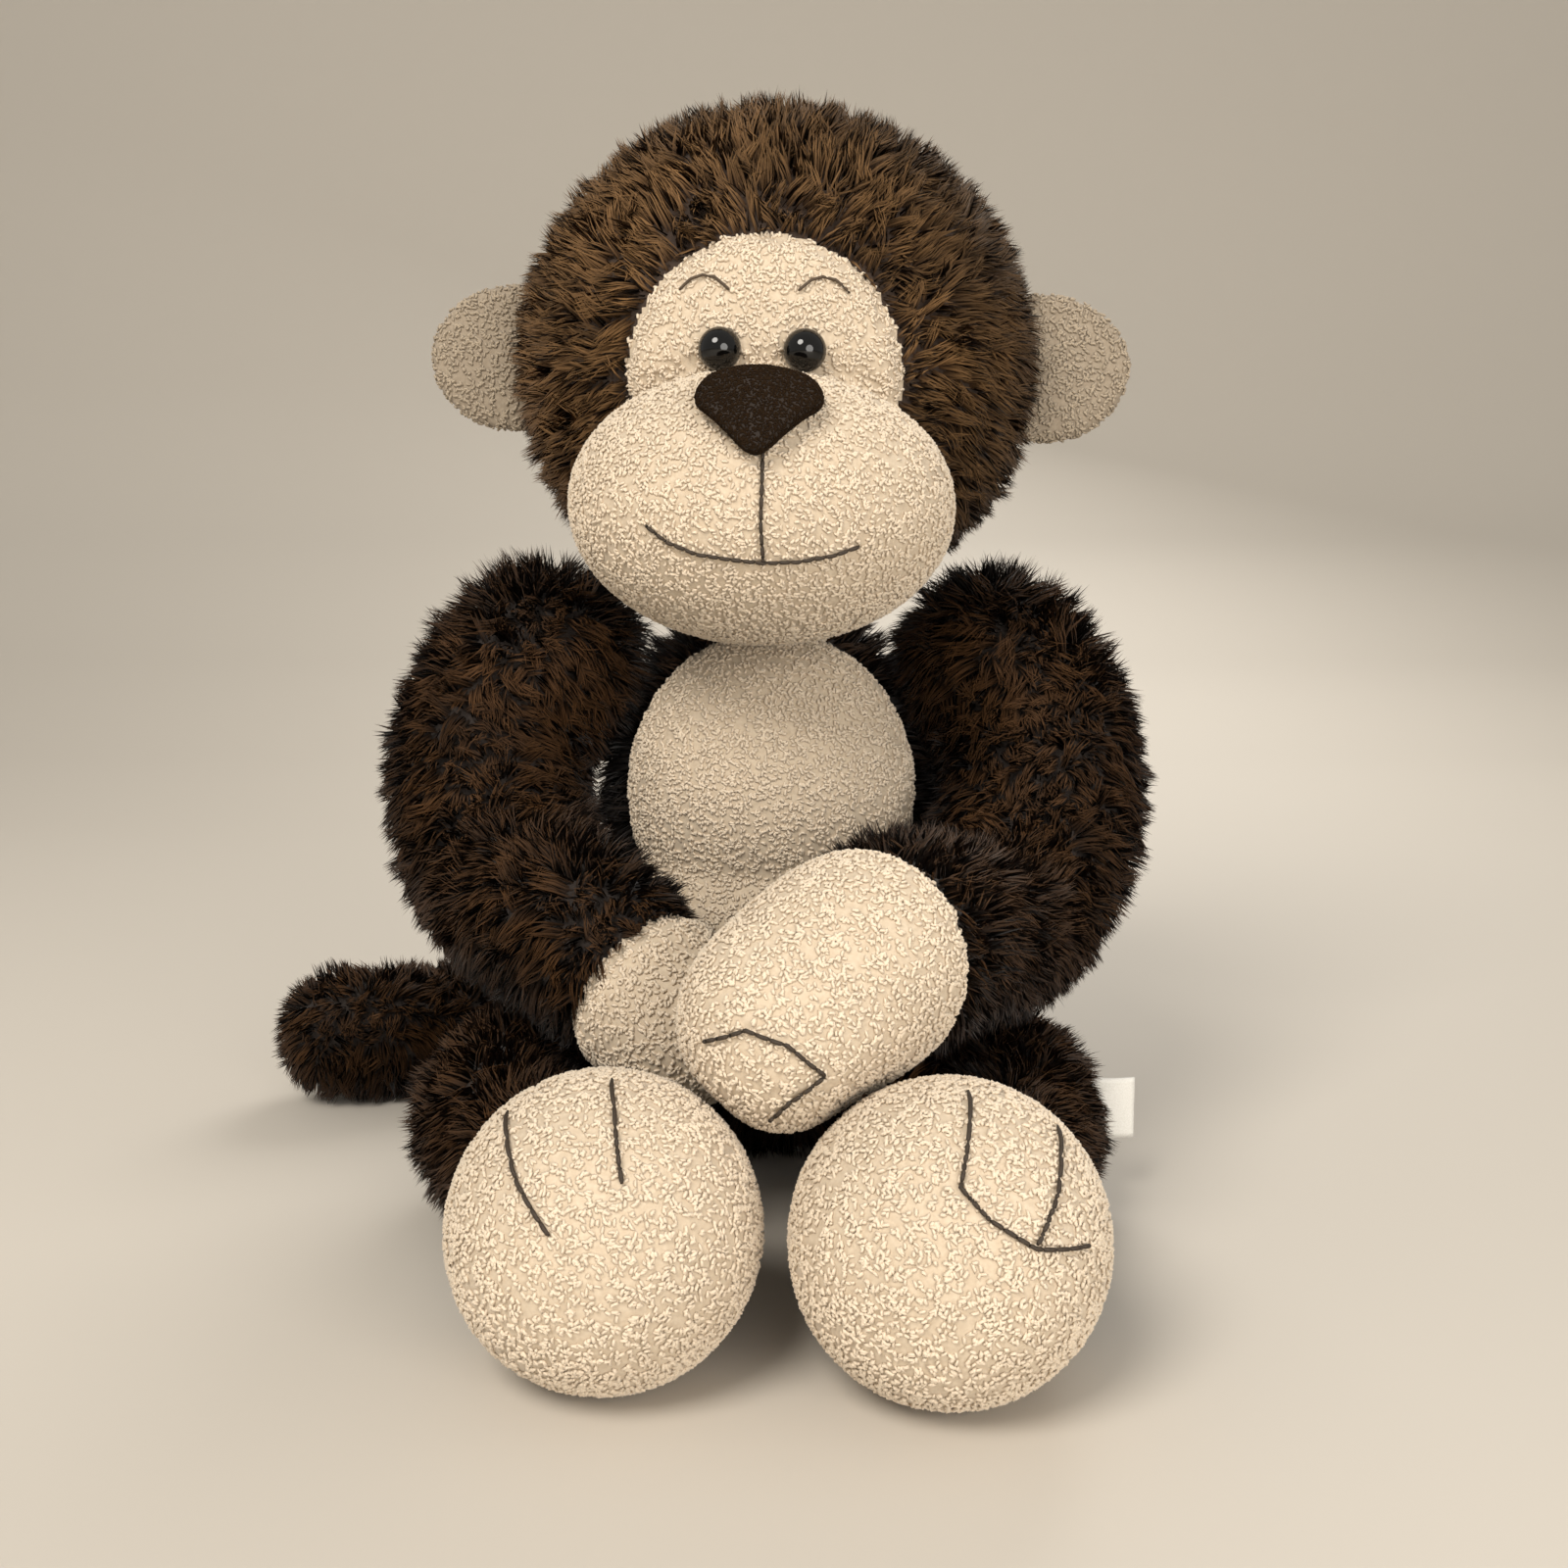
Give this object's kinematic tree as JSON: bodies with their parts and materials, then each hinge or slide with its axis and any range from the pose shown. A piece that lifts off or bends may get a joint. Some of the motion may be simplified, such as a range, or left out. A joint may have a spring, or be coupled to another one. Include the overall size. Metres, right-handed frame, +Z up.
{
  "type": "stuffed monkey",
  "caption": "Seated plush monkey with dark brown fur, a cream face, belly, hands and feet, bead eyes, a padded nose and a curled-round tail; limbs, tail and head move.",
  "frame": {"origin": "centre of the flat patch of fabric under the torso that the toy sits on, on its middle line", "axes": "+Z up, the monkey faces -Y, +X is the monkey's own left"},
  "size_m": [0.2892, 0.3075, 0.325],
  "materials": {
    "dark_fur": "chocolate brown plush pile, about 8 mm",
    "head_fur": "medium brown plush pile with lighter tips, about 9 mm",
    "cream_boucle": "cream boucle fleece with small tight curls",
    "polyester_fill": "loose white polyester filling",
    "pellet_pouch": "bag of plastic pellets",
    "dark_knit": "plain brown knit backing",
    "nose_fleece": "short dark brown fleece, padded",
    "eye_plastic": "polished black",
    "washer_plastic": "natural white plastic",
    "thread": "dark brown embroidery thread",
    "label_tape": "white woven tape, blank"
  },
  "bodies": {
    "torso": {"belly_panel": "cream_boucle", "seat_pellet_pouch": "pellet_pouch", "torso_fur": "dark_fur", "torso_stuffing": "polyester_fill"},
    "neck": {"neck_gusset": "dark_knit"},
    "head": {"brow_stitches_left": "thread", "brow_stitches_right": "thread", "ear_left": "cream_boucle", "ear_right": "cream_boucle", "eye_left": "eye_plastic", "eye_right": "eye_plastic", "eye_washer_left": "washer_plastic", "eye_washer_right": "washer_plastic", "forehead_panel": "cream_boucle", "head_fur": "head_fur", "head_stuffing": "polyester_fill", "mouth_stitches": "thread", "muzzle_panel": "cream_boucle", "nose": "nose_fleece"},
    "arm_left": {"arm_fur_left": "dark_fur", "arm_stuffing_left": "polyester_fill", "hand_left": "cream_boucle", "hand_stitches_left": "thread"},
    "arm_right": {"arm_fur_right": "dark_fur", "arm_stuffing_right": "polyester_fill", "hand_right": "cream_boucle"},
    "leg_left": {"foot_left": "cream_boucle", "leg_fur_left": "dark_fur", "leg_stuffing_left": "polyester_fill", "sewn_label": "label_tape", "toe_stitches_left": "thread"},
    "leg_right": {"foot_right": "cream_boucle", "leg_fur_right": "dark_fur", "leg_stuffing_right": "polyester_fill", "toe_stitches_right": "thread"},
    "tail": {"tail_fur": "dark_fur", "tail_stuffing": "polyester_fill"}
  },
  "joints": [
    {"name": "head_turn", "type": "hinge", "parent": "torso", "child": "neck", "pos_m": [0, -0.004, 0.176], "axis": [0, 0, 1], "range_deg": [-20, 20]},
    {"name": "head_nod", "type": "hinge", "parent": "neck", "child": "head", "pos_m": [0, -0.004, 0.176], "axis": [1, 0, 0], "range_deg": [-12, 12]},
    {"name": "arm_left_raise", "type": "hinge", "parent": "torso", "child": "arm_left", "pos_m": [0.071, -0.01, 0.153], "axis": [-0.6158, 0.6158, 0.4915], "range_deg": [0, 70]},
    {"name": "arm_right_open", "type": "hinge", "parent": "torso", "child": "arm_right", "pos_m": [-0.073, -0.01, 0.155], "axis": [-0.4472, 0, -0.8944], "range_deg": [0, 70]},
    {"name": "leg_left_swing", "type": "hinge", "parent": "torso", "child": "leg_left", "pos_m": [0.044, -0.03, 0.031], "axis": [1, 0, 0], "range_deg": [0, 65]},
    {"name": "leg_right_swing", "type": "hinge", "parent": "torso", "child": "leg_right", "pos_m": [-0.044, -0.03, 0.031], "axis": [1, 0, 0], "range_deg": [0, 65]},
    {"name": "tail_swing", "type": "hinge", "parent": "torso", "child": "tail", "pos_m": [-0.034, 0.048, 0.021], "axis": [0, 0, 1], "range_deg": [-60, 0]}
  ]
}
